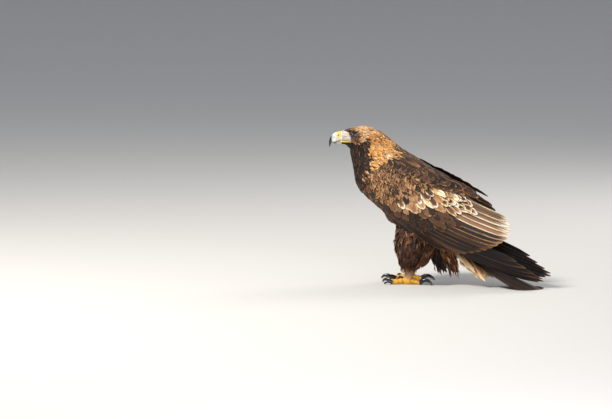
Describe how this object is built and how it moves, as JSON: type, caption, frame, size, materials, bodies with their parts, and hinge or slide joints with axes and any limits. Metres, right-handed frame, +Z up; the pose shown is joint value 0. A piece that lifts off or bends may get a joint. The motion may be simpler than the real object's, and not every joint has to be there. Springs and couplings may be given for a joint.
{
  "type": "bird of prey",
  "caption": "Life-size golden eagle standing on a level floor, wings folded, head turned to its left, tail tip laid on the floor.",
  "frame": {"origin": "middle of the bounding box, on the floor that the feet stand on", "axes": "-X is where the bird's body faces, -Y its left side, +Z up"},
  "size_m": [0.7256, 0.2314, 0.4966],
  "materials": {
    "torso": "dark brown body feathers",
    "neck": "golden hackles",
    "head": "short tan and brown feathers",
    "wing": "brown flight feathers under tan coverts",
    "tail": "dark brown tail feathers",
    "thigh": "brown trouser feathers",
    "shin": "short buff feathers",
    "cere": "waxy yellow skin",
    "bill": "blue-grey horn, black at the tip",
    "eye": "wet dark brown",
    "toes": "scaly yellow skin",
    "claw": "polished black horn"
  },
  "bodies": {
    "root": {"bill_lower": "bill", "bill_upper": "bill", "cere": "cere", "claw_left_hind": "claw", "claw_left_inner": "claw", "claw_left_middle": "claw", "claw_left_outer": "claw", "claw_right_hind": "claw", "claw_right_inner": "claw", "claw_right_middle": "claw", "claw_right_outer": "claw", "eye_left": "eye", "eye_right": "eye", "foot_left": "toes", "foot_right": "toes", "gape_left": "cere", "gape_right": "cere", "head": "head", "neck": "neck", "shin_left": "shin", "shin_right": "shin", "tail": "tail", "thigh_left": "thigh", "thigh_right": "thigh", "torso": "torso", "wing_left": "wing", "wing_right": "wing"}
  },
  "joints": []
}
